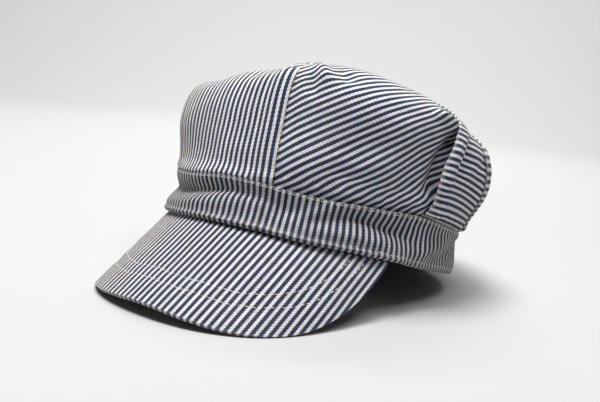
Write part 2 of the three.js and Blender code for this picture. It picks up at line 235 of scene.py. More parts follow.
def cloth_piece(name, squares, shape, grain, thickness, rounding, wear=None, closed=False, thin=None):
    """A sheet of squares, shaped, thickened inwards and rounded. Closed joins it into a ring."""
    cut = bmesh.new()
    bmesh.ops.create_grid(cut, x_segments=squares[0], y_segments=squares[1], size=0.5)
    spots = np.array([vert.co[:2] for vert in cut.verts]) + 0.5
    places = shape(*spots.T)
    bolt = grain(*spots.T)
    worn = np.zeros(len(spots)) if wear is None else wear(*spots.T)
    wear_layer = cut.verts.layers.float.new("wear")
    uv_layer = cut.loops.layers.uv.new("cloth")
    for vert, place, amount in zip(cut.verts, pressed(tipped(places)), worn):
        vert.co = place
        vert[wear_layer] = amount
    cut.verts.index_update()
    for face in cut.faces:
        face.smooth = True
        for loop in face.loops:
            loop[uv_layer].uv = bolt[loop.vert.index]
    if closed:
        bmesh.ops.remove_doubles(cut, verts=cut.verts, dist=1e-6)
    piece = new_object(name, cut)

    wall = piece.modifiers.new("Wall", "SOLIDIFY")
    wall.thickness = thickness / 1000
    wall.offset = -1
    if thin:
        group = piece.vertex_groups.new(name="full")
        group.add(np.flatnonzero(~thin(*spots.T)).tolist(), 1, "REPLACE")
        wall.vertex_group = "full"
        wall.thickness_vertex_group = THIN_SHARE
    edge = piece.modifiers.new("Rounded edges", "BEVEL")
    edge.width = rounding / 1000
    edge.segments = 2
    edge.limit_method = "ANGLE"
    edge.angle_limit = FOLD_ANGLE

    finished = bpy.data.meshes.new_from_object(piece.evaluated_get(bpy.context.evaluated_depsgraph_get()))
    piece.modifiers.clear()
    piece.data = finished
    finished.name = name
    for vert in finished.vertices:
        vert.co.z = max(vert.co.z, 0)
    finished.update()
    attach(piece, "root")
    return piece


# %% [markdown]
# Stitches are real loops of thread, a few millimetres long, that sink into the cloth at both ends. A stretched
# little sphere with few faces is enough for each, because there are hundreds.

# %% Making a row of stitches
SUNK = 0.05  # how deep the middle of a stitch lies in the cloth


def stitch_row(name, path, outward, stitch, pitch, thread):
    """Stitches along a path of upright points. The outward directions say which way the cloth faces."""
    path = tipped(path) * 1000
    outward = tipped(outward) * 1000 - PLACE
    lengths = np.concatenate([[0], np.cumsum(np.linalg.norm(path[1:] - path[:-1], axis=1))])
    row = bmesh.new()
    for middle in np.arange(pitch / 2, lengths[-1], pitch):
        ends = [
            Vector([np.interp(at, lengths, path[:, axis]) for axis in range(3)])
            for at in (middle - stitch / 2, middle + stitch / 2)
        ]
        facing = Vector([np.interp(middle, lengths, outward[:, axis]) for axis in range(3)]).normalized()
        along = (ends[1] - ends[0]).normalized()
        sideways = facing.cross(along).normalized()
        facing = along.cross(sideways)
        centre = (ends[0] + ends[1]) / 2 + facing * (thread / 2 - SUNK)
        turn = Matrix([along, sideways, facing]).transposed().to_4x4()
        size = Matrix.Diagonal((stitch / 2, thread / 2, thread / 2, 1))
        place = Matrix.Scale(0.001, 4) @ Matrix.Translation(centre) @ turn @ size
        # The sphere's poles go to the two ends of the stitch
        poles = Matrix.Rotation(math.pi / 2, 4, "Y")
        bmesh.ops.create_uvsphere(row, u_segments=6, v_segments=5, radius=1, matrix=place @ poles)
    for face in row.faces:
        face.smooth = True
    piece = new_object(name, row)
    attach(piece, "root")
    print(f"{name}: {len(piece.data.polygons)} faces")


# %% [markdown]
# The head ring is an ellipse, 192.8 mm long and 176.2 mm wide. Directions round the head are in degrees, from
# 0 at the front over 90 at the wearer's left to 180 at the back.

# %% The head ring
HALF_LENGTH = 96.4
HALF_WIDTH = 88.1
BAND_HEIGHT = 25.8
BAND_SPREAD = 1.0
DROOP = math.radians(46.9)
GAP = 0.3


def ring(turn, offset, height):
    """Points of the head ring moved out by an offset, at a height."""
    angle = np.radians(turn)
    return np.stack([
        (HALF_WIDTH + offset) * np.sin(angle),
        -(HALF_LENGTH + offset) * np.cos(angle),
        height + 0 * angle,
    ], axis=1)


def unit(rows):
    return rows / np.linalg.norm(rows, axis=1)[:, None]


def facing_out(surface, a, b, step_a, step_b):
    """Which way a surface of two values faces."""
    along = surface(a + step_a, b) - surface(a - step_a, b)
    upwards = surface(a, b + step_b) - surface(a, b - step_b)
    return unit(np.cross(along, upwards))


print("left of the ring:", ring(np.array([90.0]), 0, 0).round(1).tolist())

# %% [markdown]
# The visor is two layers of striped cloth over a stiff board, bent round the head and pushed down. All of its
# straight lines run the same way, down the slope, so it could be rolled out flat: that gives its cloth without
# any stretching. In that flat pattern its edge is a full curve between an ellipse and a rectangle.
# Its inner hem turns up inside the band.

# %% The visor's flat pattern
VISOR_REACH = 63.2
VISOR_CORNER = 65.5
VISOR_FULLNESS = 2.65
VISOR_WALL = 2.6
VISOR_HEM = 8.0
SLOPE = np.array([0, -math.cos(DROOP), -math.sin(DROOP)])

fine_turns = np.linspace(0, 90, 361)
fine_steps = np.hypot(
    HALF_WIDTH * np.cos(np.radians(fine_turns)),
    HALF_LENGTH * np.sin(np.radians(fine_turns)) * math.sin(DROOP),
)
fine_across = np.concatenate([[0], np.cumsum((fine_steps[1:] + fine_steps[:-1]) / 2 * math.radians(0.25))])


def visor_across(turn):
    """How far across the flat visor a direction lies."""
    return np.sign(turn) * np.interp(np.abs(turn), fine_turns, fine_across)


def visor_turn(across):
    """The direction whose line lies that far across."""
    return np.sign(across) * np.interp(np.abs(across), fine_across, fine_turns)


def visor_root(turn):
    """How far down the flat visor its line starts, behind the middle of the front."""
    return -HALF_LENGTH * (1 - np.cos(np.radians(turn))) * math.cos(DROOP)


CORNER_ACROSS = float(visor_across(np.array([VISOR_CORNER]))[0])
CORNER_ROOT = float(visor_root(np.array([VISOR_CORNER]))[0])


def visor_edge(across, margin=0.0, front_margin=0.0):
    """How far down the flat visor its edge lies, or a line inside it."""
    share = np.clip(np.abs(across) / (CORNER_ACROSS - margin), 0, 1)
    full = VISOR_REACH - front_margin - CORNER_ROOT
    return CORNER_ROOT + full * (1 - share**VISOR_FULLNESS) ** (1 / VISOR_FULLNESS)


def visor_facing(turn):
    """Which way the visor's upper side faces."""
    angle = np.radians(turn)
    along = np.stack([HALF_WIDTH * np.cos(angle), HALF_LENGTH * np.sin(angle), 0 * angle], axis=1)
    return unit(np.cross(SLOPE, along))


def visor_point(across, down):
    """A spot of the flat visor on the cap."""
    turn = visor_turn(across)
    return ring(turn, 0, -GAP) + SLOPE * (down - visor_root(turn))[:, None]


print(f"flat visor: {2 * CORNER_ACROSS:.0f} mm across, {VISOR_REACH - CORNER_ROOT:.0f} mm from corner to edge")

# %% [markdown]
# The two rows of topstitching follow the visor's edge. Thread pulls the cloth down, so each row lies in a
# shallow groove. The cloth is also a little uneven over the board.

# %% The visor's shape
VISOR_ROWS = {"inner": (18.5, 22.8), "outer": (11.8, 15.5)}  # margins at the sides and at the front
ROW_DEPTH, ROW_WIDTH = 0.16, 0.9
CROWDING = 1.46  # of the sheet's lines towards the corners, where the edge bends most
SHORT_OF_CORNER = 0.996
HEM_SHARE = 0.12  # the hem's part of the sheet, against the rest
HEM_ENTRY = 0.3  # the share of the hem that leads in under the band


def visor_spot(x, y):
    """Direction, share of the way to the edge, and place in the flat pattern. The hem's shares are below 0."""
    turn = VISOR_CORNER * SHORT_OF_CORNER * np.sin((2 * x - 1) * CROWDING) / math.sin(CROWDING)
    share = (1 - y) * (1 + HEM_SHARE) - HEM_SHARE
    across = visor_across(turn)
    length = visor_edge(across) - visor_root(turn)
    return turn, share, across, visor_root(turn) + np.maximum(share, 0) * length


def visor_surface(across, down):
    """A spot of the flat visor on the cap, with its grooves and its uneven cloth."""
    turn = visor_turn(across)
    place = visor_point(across, down)
    groove = np.zeros(len(across))
    for margin, front_margin in VISOR_ROWS.values():
        row = visor_edge(across, margin, front_margin)
        near = np.where(np.abs(across) < CORNER_ACROSS - margin, down - row, 1e3)
        groove -= ROW_DEPTH * bell(near, ROW_WIDTH)
    swell = unevenness(place, 26, 0.35) + unevenness(place, 9, 0.12)
    raised = (groove + swell) * smooth(0, 5, down - visor_root(turn))
    return place + visor_facing(turn) * raised[:, None]


def visor_shape(x, y):
    turn, share, across, down = visor_spot(x, y)
    place = visor_surface(across, down)
    hem = np.clip(-share / HEM_SHARE, 0, 1)
    inner = ring(turn, -(2.0 + GAP), 0)
    inner[:, 2] = -GAP + VISOR_HEM * np.clip((hem - HEM_ENTRY) / (1 - HEM_ENTRY), 0, 1)
    entry = np.clip(hem / HEM_ENTRY, 0, 1)[:, None]
    return np.where(share[:, None] >= 0, place, place * (1 - entry) + inner * entry)


def visor_grain(x, y):
    _, share, across, down = visor_spot(x, y)
    return np.stack([across, down + np.minimum(share, 0) * 80], axis=1) / 1000


def visor_wear(x, y):
    return 0.3 * smooth(0.975, 1, visor_spot(x, y)[1])


visor = cloth_piece(
    "visor_cloth", (150, 84), visor_shape, visor_grain, VISOR_WALL - 0.4, 1.05, visor_wear,
    thin=lambda x, y: visor_spot(x, y)[1] < -0.02,
)
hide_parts("visor")
print("visor:", len(visor.data.polygons), "faces")

# %% [markdown]
# The rows are laid on the same uneven surface. They wander a little, as when cloth slips under the needle.

# %% Topstitching on the visor
for row_name, (margin, front_margin) in VISOR_ROWS.items():
    reach = CORNER_ACROSS - margin
    ways = np.linspace(-1, 1, 600)
    across = reach * np.sin(ways * math.pi / 2 * 0.99)
    down = visor_edge(across, margin, front_margin)
    seen = down > visor_root(visor_turn(across)) + 4
    down += 0.35 * np.sin(across / 5.3) + 0.25 * np.sin(across / 2.1 + 1)
    path = visor_surface(across[seen], down[seen])
    facing = visor_facing(visor_turn(across[seen]))
    stitch_row(f"visor_{row_name}_stitches", path, facing, stitch=2.6, pitch=3.2, thread=0.34)

# %% [markdown]
# The band is a folded strip of cloth whose stripes run up and down. It is stiff, but it has been worn, so it
# has soft rolls: one along its top edge, and some that run down across it. Its lower edge is rolled under and
# stands out over the visor. Where each roll lies was read from the photograph, as direction and share of the
# height.

# %% The band's rolls
BAND_EDGE = np.array([
    # direction, rise of the upper edge as a share of the height
    (-150, 0), (-95, 0.04), (-60, 0.05), (-22, -0.08), (0, 0), (12, 0), (29, -0.05),
    (46, -0.02), (64, 0.06), (76, 0.10), (90, 0.05), (120, 0), (180, 0),
])
BAND_WALL = 2.0
BAND_LIP = 3.0  # how far the lower edge stands out over the visor
BAND_ROLL = 2.3  # radius of the rolled lower edge
ROLL_END = math.radians(172)  # how far round the roll goes
MM_PER_DEGREE = 1.61  # round the band

BAND_FOLDS = [
    # line through (direction, share of height), widths above and below, depth, shares left at the ends
    ([(-70, 0.62), (-45, 0.54), (-27, 0.50), (-11, 0.60), (4, 0.70), (20, 0.64), (33, 0.74)],
     (3.2, 1.9), -3.6, (0, 0)),
    ([(-68, 0.22), (-50, 0.18), (-20, 0.22), (-6, 0.30), (8, 0.36), (18, 0.32)], (3.0, 4.2), 2.8, (0.1, 0)),
    ([(16, 0.62), (22, 0.50), (29, 0.54), (35, 0.68)], (3.2, 3.4), -1.6, (0, 0)),
    ([(22, 0.30), (31, 0.44), (36, 0.70), (43, 0.86)], (2.8, 2.6), 1.4, (0, 0.7)),
    ([(36, 0.52), (41, 0.60), (47, 0.70), (54, 0.66), (60, 0.58), (67, 0.52), (77, 0.38)],
     (3.4, 2.2), -4.0, (0, 0.1)),
    ([(17, 0.14), (31, 0.20), (48, 0.28), (59, 0.24), (68, 0.14), (78, 0.10)], (3.0, 3.8), 2.6, (0, 0.3)),
    ([(68, 0.16), (76, 0.26), (84, 0.40), (92, 0.64), (98, 0.86)], (3.4, 3.0), 2.2, (0, 0.3)),
    ([(86, 0.12), (94, 0.28), (101, 0.50)], (3.2, 3.4), -1.6, (0.6, 0)),
    ([(58, 0.80), (70, 0.78), (82, 0.74)], (2.4, 3.0), -0.8, (0, 0)),
    ([(96, 0.70), (108, 0.80), (118, 0.90)], (4.0, 5.0), -1.2, (0.3, 0.3)),
    ([(106, 0.98), (122, 0.90), (138, 0.98)], (5.0, 7.0), -2.4, (0, 0)),
    ([(100, 0.06), (120, 0.08), (140, 0.06)], (5.0, 5.0), 1.2, (0, 0)),
    ([(134, 0.52), (150, 0.44), (166, 0.50)], (3.2, 3.2), -1.4, (0, 0)),
    ([(-96, 0.24), (-84, 0.52), (-70, 0.74)], (3.4, 3.4), -1.6, (0, 0)),
    ([(-112, 0.72), (-98, 0.56), (-90, 0.30)], (4.0, 4.0), 1.4, (0, 0)),
    ([(-160, 0.60), (-142, 0.62), (-126, 0.48)], (3.8, 3.8), 1.2, (0, 0)),
]
BAND_STITCHES = {"top": 0.945, "lower": 0.05}  # shares of the height


def band_top(turn):
    return BAND_HEIGHT * (1 + curve(BAND_EDGE[:, 0], BAND_EDGE[:, 1], wrapped(turn), 360))


def band_relief(turn, share):
    """How far the rolls, the rounded top edge and the stitching move the band outwards."""
    x = wrapped(turn) * MM_PER_DEGREE
    y = share * BAND_HEIGHT
    depth = np.zeros(len(x))
    for line, widths, rise, ends in BAND_FOLDS:
        spots = [(way * MM_PER_DEGREE, height * BAND_HEIGHT) for way, height in line]
        depth += fold_depth(x, y, spots, widths, rise, ends)
    depth += 0.7 * bell(y - 0.96 * BAND_HEIGHT, 1.8)
    for height in BAND_STITCHES.values():
        depth -= 0.22 * bell(y - height * BAND_HEIGHT, 0.8)
    ripples = np.sin(x / 1.7 + 2.2 * np.sin(x / 9.0)) + 0.6 * np.sin(x / 2.9 + 1.3)
    depth += 0.10 * ripples * (bell(share - 0.9, 0.07) + bell(share - 0.1, 0.08))
    return depth


def band_point(turn, share):
    """A spot of the band. A share below 0 is on the rolled lower edge, which lies on the visor at the front."""
    angle = np.radians(turn)
    out = np.stack([np.sin(angle), -np.cos(angle), 0 * angle], axis=1)
    front = 1 - smooth(VISOR_CORNER + 1, VISOR_CORNER + 9, np.abs(turn))
    rise = np.maximum(share, 0)
    relief = np.maximum(band_relief(turn, rise), -1.0 - 3.4 * smooth(0.08, 0.34, 1 - rise))
    lip = BAND_LIP * front * np.exp(-rise * BAND_HEIGHT / 3.5)
    wall = ring(turn, 0, 0) + out * (BAND_SPREAD * rise + relief + lip)[:, None]

    # The roll's centre lies one radius above whatever is below it, and one radius inside the wall
    visor_up = visor_facing(np.clip(turn, -VISOR_CORNER, VISOR_CORNER))
    up_from = unit(visor_up * front[:, None] + np.array([0, 0, 1]) * (1 - front[:, None]))
    lean = (up_from * out).sum(axis=1)
    sideways = out - up_from * lean[:, None]
    spare = np.linalg.norm(sideways, axis=1)
    sideways /= spare[:, None]
    foot = band_relief(turn, 0 * rise) + BAND_LIP * front
    above = BAND_ROLL + 0.25 * front
    centre = ring(turn, 0, 0) - np.array([0, 0, GAP]) * front[:, None] + up_from * above[:, None]
    centre += sideways * ((foot - BAND_ROLL - above * lean) / spare)[:, None]
    start = np.arccos(lean)
    bend = start + (ROLL_END - start) * np.clip(-share, 0, 1)
    rolled = centre + BAND_ROLL * (up_from * np.cos(bend)[:, None] + sideways * np.sin(bend)[:, None])
    wall[:, 2] = centre[:, 2] + (band_top(turn) - centre[:, 2]) * rise
    return np.where(share[:, None] < 0, rolled, wall)


STRIPE = 3.7
ROLLED = 0.22  # the roll's share of the strip
# The pattern is stretched by a hair, so that a whole number of stripes goes round
band_turns = np.linspace(-180, 180, 721)
band_steps = np.linalg.norm(np.diff(ring(band_turns, 0.5, 0), axis=0), axis=1)
stripes_round = round(band_steps.sum() / STRIPE)
band_lengths = np.concatenate([[0], np.cumsum(band_steps)]) * (stripes_round * STRIPE / band_steps.sum())


def band_spot(x, y):
    """Direction and share of the height, for spots of the strip. The lowest part of the strip is its roll."""
    return x * 360 - 180, np.where(y < ROLLED, y / ROLLED - 1, (y - ROLLED) / (1 - ROLLED))


def band_shape(x, y):
    return band_point(*band_spot(x, y))


def band_grain(x, y):
    turn, share = band_spot(x, y)
    upwards = np.where(share < 0, share * 2.2 * BAND_ROLL, share * BAND_HEIGHT)
    return np.stack([np.interp(turn, band_turns, band_lengths), upwards], axis=1) / 1000


def band_wear(x, y):
    share = band_spot(x, y)[1]
    return 0.8 * smooth(0.95, 1, share) + 0.35 * bell(share, 0.08)


band = cloth_piece("band_cloth", (560, 42), band_shape, band_grain, 1.3, 0.55, band_wear, closed=True)
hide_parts("band")
print("band:", len(band.data.polygons), "faces,", stripes_round, "stripes round")

# %% [markdown]
# The band has a row of finer stitches along its top edge, all the way round, and another along its lower edge
# where that isn't over the visor.

# %% Topstitching on the band
for row_name, height in BAND_STITCHES.items():
    turns = np.linspace(-180, 180, 2400) if row_name == "top" else np.linspace(58, 302, 1600)
    turns = wrapped(turns[:-1])
    shares = np.full(len(turns), height)
    facing = facing_out(band_point, turns, shares, 0.3, 0.01)
    stitch_row(f"band_{row_name}_stitches", band_point(turns, shares), facing, stitch=1.8, pitch=2.6, thread=0.28)

# %% [markdown]
# The crown is a dome that is fuller than the head, so it swells out above the band and then folds over to a
# nearly flat top. It is described by thirteen upright sections, one for each direction. A section has six
# measured spots, from the swell just above the band to the rim of the flat top. Levels run from 0 at the hem
# inside the band to 1 at the middle of the top.

# %% The crown's sections
CROWN_RISE = 78.2
CROWN_TUCK = 6.0
CROWN_LEAN = 6.0
TOP_OUT = 0.65
LEVELS = [0, 0.10, 0.24, 0.42, 0.58, 0.70, 0.80, 0.90, 1]

SECTIONS = np.array([
    # direction; low, belly, shoulder, edge and crest, each as reach and height; height of the top's rim
    (-135, 1.06, 0.16, 1.11, 0.39, 1.08, 0.60, 0.98, 0.75, 0.80, 0.85, 0.935),
    (-95, 1.06, 0.16, 1.11, 0.38, 1.09, 0.57, 0.99, 0.71, 0.80, 0.82, 0.905),
    (-62, 1.03, 0.15, 1.06, 0.37, 1.05, 0.54, 0.95, 0.67, 0.79, 0.77, 0.875),
    (-38, 1.016, 0.14, 1.06, 0.35, 1.045, 0.53, 0.975, 0.67, 0.82, 0.755, 0.865),
    (-16, 0.99, 0.15, 1.00, 0.35, 0.995, 0.53, 0.95, 0.68, 0.83, 0.785, 0.875),
    (0, 1.00, 0.16, 1.00, 0.37, 1.00, 0.58, 0.96, 0.73, 0.84, 0.82, 0.900),
    (18, 1.02, 0.17, 1.03, 0.41, 1.03, 0.65, 0.99, 0.805, 0.86, 0.89, 0.950),
    (42, 1.065, 0.15, 1.07, 0.40, 1.095, 0.645, 1.01, 0.80, 0.86, 0.915, 0.975),
    (62, 1.065, 0.15, 1.09, 0.40, 1.10, 0.645, 1.01, 0.79, 0.845, 0.90, 0.968),
    (80, 1.07, 0.17, 1.12, 0.41, 1.09, 0.635, 1.00, 0.77, 0.83, 0.88, 0.955),
    (105, 1.045, 0.15, 1.11, 0.38, 1.08, 0.60, 0.97, 0.72, 0.80, 0.82, 0.920),
    (135, 1.035, 0.15, 1.10, 0.38, 1.06, 0.56, 0.95, 0.68, 0.80, 0.785, 0.905),
    (180, 1.04, 0.15, 1.10, 0.38, 1.06, 0.56, 0.95, 0.68, 0.80, 0.80, 0.905),
])


def crown_base(turn, level):
    """The crown's surface without its folds."""
    reads = [curve(SECTIONS[:, 0], column, wrapped(turn), 360) for column in SECTIONS[:, 1:].T]
    low, low_up, belly, belly_up, shoulder, shoulder_up, edge, edge_up, crest, crest_up, top_up = reads
    hem = BAND_SPREAD - BAND_WALL - GAP
    tuck = CROWN_TUCK / BAND_HEIGHT
    one = np.ones(len(turn))
    out = [
        one * (1 + (hem - BAND_SPREAD * tuck) / HALF_WIDTH), one * (1 + hem / HALF_WIDTH),
        low, belly, shoulder, edge, crest, TOP_OUT * crest, 0 * one,
    ]
    ups = (low_up, belly_up, shoulder_up, edge_up, crest_up, top_up, one)
    rim = band_top(turn)
    heights = [rim - CROWN_TUCK, rim + GAP, *(BAND_HEIGHT + share * CROWN_RISE for share in ups)]
    reach = curve(LEVELS, out, level)
    place = ring(turn, 0, 0)
    place[:, 0] *= reach
    place[:, 1] = place[:, 1] * reach - CROWN_LEAN * (1 - reach)
    place[:, 2] = curve(LEVELS, heights, level)
    return place


print("top of the crown:", crown_base(np.array([0.0]), np.array([1.0])).round(1).tolist())

# %% [markdown]
# The crown's seams run from the band to the middle of the top. The rear seam leans and bulges, because the
# cloth of the side panel is pushed in under the rear panel there, which makes the deepest fold on the cap.
# Broad dents and puffs come first, and then the sharper folds, drawn as lines. Only the wearer's left shows
# in the photograph. The other side repeats it more softly, mirrored about the crown's own front, which has
# been pulled round from the visor's by 13.5 degrees.

# %% The crown's seams and folds
SEAMS = {
    "front": [18.5, 18.5, 18.2, 17.8, 17.6, 18.3, 18.5, 18.5, 18.5],
    "rear": [75.5, 74.8, 74.2, 73.6, 76, 80.5, 83, 84, 84],
    "back": [116, 114, 109, 101, 96, 99, 108, 116, 120],
    "middle": [166.5] * 9,
}
CROWN_TURN = -13.5
HIDDEN_SIDE = 0.7
HEM_IN = 3.2  # how far the hem inside the band is pushed in by the band's folds
UNDER_CLEARANCE = 0.6  # from the rear panel down to the side panel's hem
CROWN_MM = (1.65, 175.0)  # millimetres in one degree round the crown, and in one level up it

CROWN_DENTS = [
    # direction, level, width round, width up, lean, depth in millimetres
    (67, 0.38, 6.0, 0.13, 6, -5.5),
    (70, 0.685, 7, 0.035, 0, 1.4),
    (46, 0.66, 16, 0.05, -6, 1.0),
    (106, 0.52, 7, 0.10, 0, 2.4),
    (86, 0.20, 9, 0.05, 10, 1.7),
    (90, 0.33, 6, 0.07, 0, -2.2),
    (130, 0.44, 8, 0.16, 12, -1.7),
    (156, 0.50, 10, 0.18, -8, 1.4),
]
CROWN_CREASES = [
    # panels, line through (direction, level), widths, depth, shares left at the ends
    (("side",), [(79.5, 0.59), (77.5, 0.54), (76, 0.48), (75.6, 0.41), (75.8, 0.32), (76.4, 0.24), (77, 0.17)],
     (3.5, 5.4), -10.5, (0.9, 0.2)),
    (("side",), [(64, 0.645), (70, 0.650), (76, 0.638)], (3.4, 3.2), 4.0, (0, 1)),
    (("rear",), [(80, 0.62), (77, 0.55), (75.6, 0.47), (75.4, 0.38), (76, 0.24)], (2.6, 3.0), 2.4, (0, 0.2)),
    (("rear",), [(84, 0.60), (82, 0.545), (80, 0.47), (78.8, 0.39), (78.6, 0.33)], (5.0, 0.8), -3.0, (0.3, 0)),
    (("front",), [(-12, 0.76), (2, 0.76), (12, 0.765), (19, 0.77)], (9, 9), -2.6, (0.2, 0.9)),
    (("side",), [(24, 0.775), (26, 0.73), (28.5, 0.667), (30, 0.62)], (2.8, 2.8), 2.8, (0.5, 0)),
    (("side",), [(23, 0.70), (24, 0.66), (25, 0.60), (25.5, 0.54)], (2.2, 2.4), -1.8, (0.2, 0)),
    (("side",), [(33, 0.76), (35, 0.70), (37, 0.65)], (3.5, 3.0), -1.6, (0.3, 0)),
    (("rear",), [(88, 0.57), (86, 0.50), (84, 0.42), (83, 0.34)], (3.5, 3.5), -1.6, (0, 0)),
    (("rear",), [(98, 0.56), (93, 0.48), (90, 0.40)], (3.0, 3.0), -1.0, (0.4, 0)),
    (("front", "side"), [(18.5, 0.12), (18.2, 0.24), (17.8, 0.42), (17.6, 0.58), (18.3, 0.70), (18.5, 0.76)],
     (4.2, 4.2), -1.8, (0.5, 0.2)),
    (("side",), [(19, 0.150), (34, 0.150), (48, 0.150), (62, 0.155), (74, 0.16)], (4.0, 3.4), 0.5, (0.6, 0.4)),
    (("side",), [(24, 0.255), (40, 0.25), (56, 0.26), (68, 0.26)], (11.0, 12.0), -4.2, (0, 0.7)),
    (("front",), [(-44, 0.115), (0, 0.115), (17, 0.115)], (6.0, 4.0), 1.6, (1, 1)),
    (("rear", "back"), [(78, 0.175), (96, 0.170), (118, 0.165), (150, 0.165), (166, 0.16)],
     (3.8, 3.2), 1.2, (0.4, 1)),
    (("side",), [(28, 0.33), (42, 0.39), (58, 0.50)], (4.0, 6.0), -1.1, (0, 0)),
    (("side",), [(38, 0.28), (50, 0.33), (60, 0.41)], (3.5, 4.0), 0.9, (0, 0)),
    (("side",), [(44, 0.60), (56, 0.60), (66, 0.62)], (3.5, 5.0), -0.8, (0, 0)),
    (("back",), [(124, 0.30), (134, 0.44), (140, 0.60)], (4.0, 4.0), -1.2, (0, 0)),
    (("back",), [(165, 0.22), (166, 0.50), (166, 0.74)], (3.8, 3.8), -1.0, (0.5, 0.2)),
]


def seam(level, name, side):
    """The direction of a seam at a level, on side 1 for the wearer's left or -1 for the right."""
    return CROWN_TURN + side * (curve(LEVELS, SEAMS[name], level) - CROWN_TURN)


def crown_relief(turn, level, panel):
    """How far a panel's folds move it outwards."""
    fade = smooth(0.07, 0.11, level) * (1 - smooth(0.82, 0.96, level))
    depth = np.zeros(len(turn))
    for side in (1, -1):
        share = 1 if side > 0 else HIDDEN_SIDE
        way = wrapped(CROWN_TURN + side * (turn - CROWN_TURN))
        for centre, height, wide, tall, lean, rise in CROWN_DENTS:
            across = wrapped(way - centre - lean * (level - height))
            depth += share * rise * bell(across, wide) * bell(level - height, tall)
        # Past the rear seam the side panel runs on under the rear panel and follows its folds
        under = (panel == "side") * smooth(0, 3, way - curve(LEVELS, SEAMS["rear"], level))
        depth -= share * UNDER_CLEARANCE * under
        for panels, line, widths, rise, ends in CROWN_CREASES:
            if panel in panels or (panel == "side" and "rear" in panels):
                spots = [(place * CROWN_MM[0], height * CROWN_MM[1]) for place, height in line]
                fold = share * fold_depth(way * CROWN_MM[0], level * CROWN_MM[1], spots, widths, rise, ends)
                depth += fold if panel in panels else under * fold
    gathers = np.sin(turn * 0.95 + 1.6 * np.sin(turn * 0.21)) + 0.5 * np.sin(turn * 1.7 + 0.8)
    depth += 0.28 * gathers * bell(level - 0.15, 0.035) * (panel != "front")
    return fade * depth


def crown_surface(turn, level, panel):
    place = crown_base(turn, level)
    facing = facing_out(crown_base, turn, np.clip(level, 0.004, 0.996), 0.25, 0.004)
    swell = unevenness(place, 30, 0.9) + unevenness(place + 40, 12, 0.25)
    fade = smooth(0.12, 0.2, level) * (1 - smooth(0.9, 1, level))
    tucked = HEM_IN * (1 - smooth(0, 0.085, level))
    return place + facing * (crown_relief(turn, level, panel) + swell * fade - tucked)[:, None]


# %% [markdown]
# A panel laps over its neighbour by 6 mm, with its edge folded under. The edge on top is lifted clear by the
# thickness of the cloth and settles back down, while the one underneath runs on out of sight. In the deep fold
# it runs on further, until it has come back up under the rear panel, which closes the fold. The grain says
# how the panel was cut from the bolt: upright on the front panel, on the slant on the side panels, and across
# on the rear and back ones. That is why the stripes of this cap meet at angles.

# %% Cutting and sewing the crown's panels
LAP = 6.0
DEEP_LAPS = 2.2  # the side panel's hem under the rear panel, in laps
LAP_EASE = 8.0
LIFT = 1.35
CROWN_WALL = 1.0
TIP_END = 0.9985  # the level where the panels' tips end
COLUMNS, ROWS = 120, 100  # steps of a panel's table of lengths


def degrees_of(length, turn, level):
    """Degrees round the crown that a length takes."""
    place = crown_base(turn, level)
    return np.degrees(length / np.maximum(np.hypot(place[:, 0], place[:, 1] + CROWN_LEAN), 0.01))


